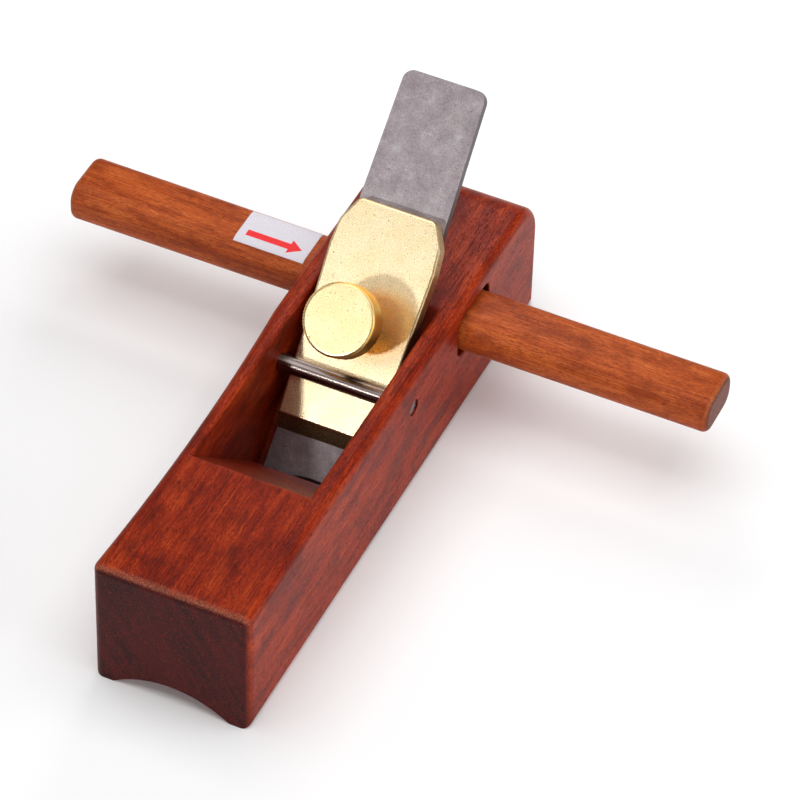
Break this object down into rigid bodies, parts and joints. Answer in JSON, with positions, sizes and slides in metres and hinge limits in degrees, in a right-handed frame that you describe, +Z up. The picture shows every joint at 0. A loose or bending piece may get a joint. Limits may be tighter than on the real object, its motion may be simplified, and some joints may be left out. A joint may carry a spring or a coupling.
{
  "type": "wooden hand plane",
  "caption": "Small wooden hand plane with a hollow sole, a cross handle, and a tapered iron clamped by a brass lever cap and thumb screw.",
  "frame": {"origin": "on the ground under the middle of the stock", "axes": "+X along the cross handle, away from the label; +Y along the stock from toe to heel; +Z up, out of the throat"},
  "size_m": [0.192, 0.18, 0.0854],
  "materials": {
    "stock_wood": "oiled red-brown rosewood, satin",
    "handle_wood": "oiled orange-brown rosewood, satin",
    "label_paper": "white paper with a red arrow",
    "iron_steel": "mottled grey forged steel",
    "cap_brass": "satin tumbled brass",
    "screw_steel": "bright steel",
    "knob_brass": "satin brass with a knurled rim",
    "rod_steel": "polished dark steel"
  },
  "bodies": {
    "stock": {"stock": "stock_wood", "cross_rod": "rod_steel"},
    "handle": {"handle": "handle_wood", "handle_label": "label_paper"},
    "iron": {"plane_iron": "iron_steel"},
    "cap": {"lever_cap": "cap_brass"},
    "screw": {"clamp_screw": "screw_steel"},
    "knob": {"screw_knob": "knob_brass"}
  },
  "joints": [
    {"name": "handle_slide", "type": "slide", "parent": "stock", "child": "handle", "axis": [1, 0, 0], "range_m": [-0.125, 0]},
    {"name": "iron_slide", "type": "slide", "parent": "stock", "child": "iron", "axis": [0, 0.7071, 0.7071], "range_m": [-0.0007, 0.12]},
    {"name": "cap_slide", "type": "slide", "parent": "stock", "child": "cap", "axis": [0, 0.7071, 0.7071], "range_m": [-0.002, 0.07]},
    {"name": "screw_travel", "type": "slide", "parent": "cap", "child": "screw", "axis": [0, -0.7071, 0.7071], "range_m": [0, 0.004]},
    {"name": "knob_turn", "type": "hinge", "parent": "screw", "child": "knob", "pos_m": [0, 0.01358, 0.04766], "axis": [0, -0.7071, 0.7071], "range_deg": [0, 1440]}
  ],
  "couplings": [
    {"joint": "knob_turn", "follows": "screw_travel", "rad_per_m": 6283.2}
  ]
}
